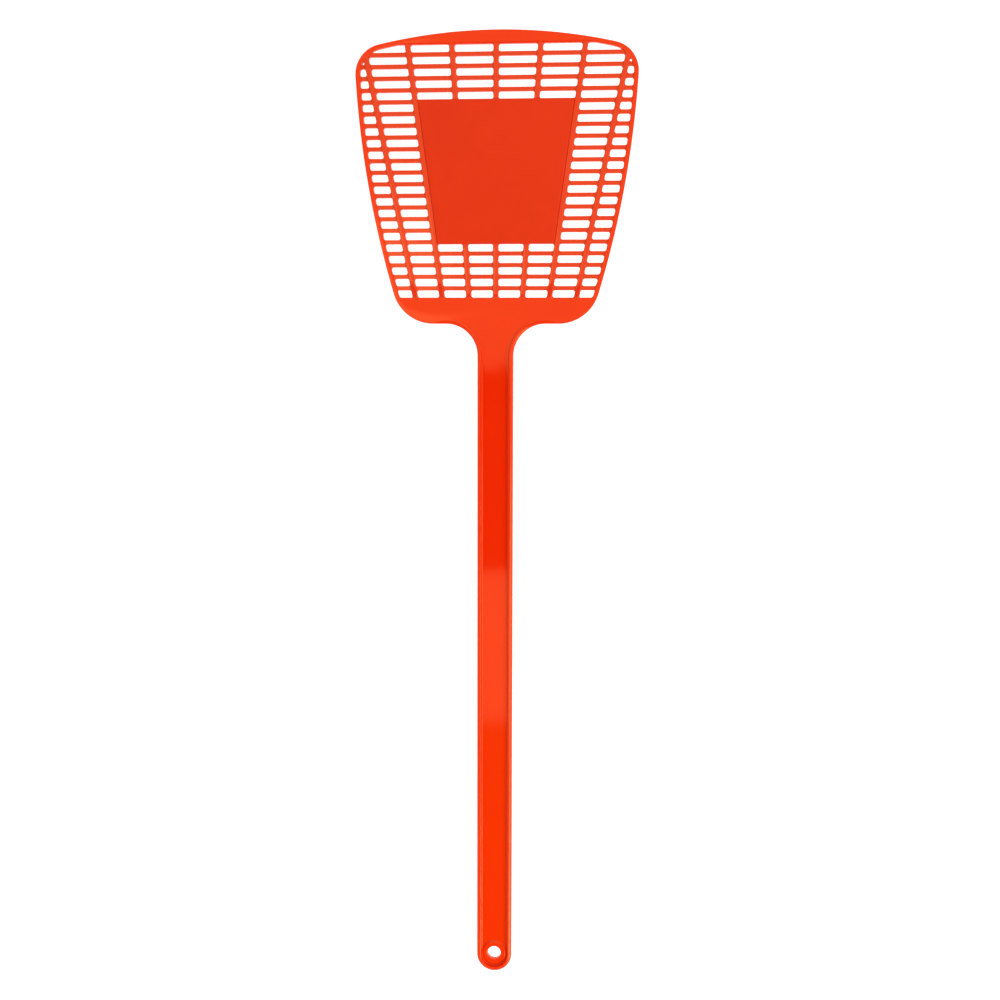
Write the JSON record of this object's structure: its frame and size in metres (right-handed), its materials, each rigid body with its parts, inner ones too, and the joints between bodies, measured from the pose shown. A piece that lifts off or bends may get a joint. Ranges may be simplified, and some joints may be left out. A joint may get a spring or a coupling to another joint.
{
  "type": "fly swatter",
  "caption": "One-shot flexible plastic swatter: ribbed strap handle with a hanging eye, a springy neck, and a slotted trapezoid head round a solid panel.",
  "frame": {"origin": "centre of the hanging hole, on the flat back face", "axes": "+Y along the handle to the head, +Z out of the ribbed face, +X to the right as the face is looked at with the head up; the swatter lies on its back"},
  "size_m": [0.1164, 0.4, 0.0036],
  "materials": {
    "handle_plastic": "glossy moulded red-orange",
    "border_plastic": "glossy moulded red-orange",
    "lattice_plastic": "glossy moulded red-orange",
    "panel_plastic": "satin moulded red-orange, faintly mottled"
  },
  "bodies": {
    "handle": {"hang_eye": "handle_plastic", "end_rim": "handle_plastic", "handle_web": "handle_plastic", "handle_rim_left": "handle_plastic", "handle_rim_right": "handle_plastic", "neck_web": "handle_plastic", "neck_rim_left": "handle_plastic", "neck_rim_right": "handle_plastic"},
    "head": {"throat_web": "handle_plastic", "throat_rim_left": "handle_plastic", "throat_rim_right": "handle_plastic", "lower_web": "border_plastic", "border_left": "border_plastic", "border_right": "border_plastic", "corner_left": "border_plastic", "corner_right": "border_plastic", "top_bar": "border_plastic", "panel": "panel_plastic", "upright_1": "lattice_plastic", "upright_2": "lattice_plastic", "upright_3_upper": "lattice_plastic", "upright_4_upper": "lattice_plastic", "upright_5_upper": "lattice_plastic", "upright_3_lower": "lattice_plastic", "upright_4_lower": "lattice_plastic", "upright_5_lower": "lattice_plastic", "upright_6": "lattice_plastic", "upright_7": "lattice_plastic", "crossbar_1": "lattice_plastic", "crossbar_2": "lattice_plastic", "crossbar_3": "lattice_plastic", "crossbar_4": "lattice_plastic", "crossbar_5": "lattice_plastic", "crossbar_6": "lattice_plastic", "crossbar_7": "lattice_plastic", "crossbar_8": "lattice_plastic", "crossbar_9": "lattice_plastic", "crossbar_10": "lattice_plastic", "crossbar_11": "lattice_plastic", "crossbar_12": "lattice_plastic", "crossbar_13": "lattice_plastic", "crossbar_14": "lattice_plastic", "crossbar_15": "lattice_plastic", "crossbar_16": "lattice_plastic", "crossbar_17": "lattice_plastic", "crossbar_18": "lattice_plastic", "crossbar_19": "lattice_plastic", "crossbar_20": "lattice_plastic", "crossbar_21": "lattice_plastic"}
  },
  "joints": [
    {"name": "neck_flex", "type": "hinge", "parent": "handle", "child": "head", "pos_m": [0, 0.2365, 0.0013], "axis": [1, 0, 0], "range_deg": [-20, 20], "stiffness_Nm_per_rad": 0.9, "deforming": ["neck_web", "neck_rim_left", "neck_rim_right"]}
  ]
}
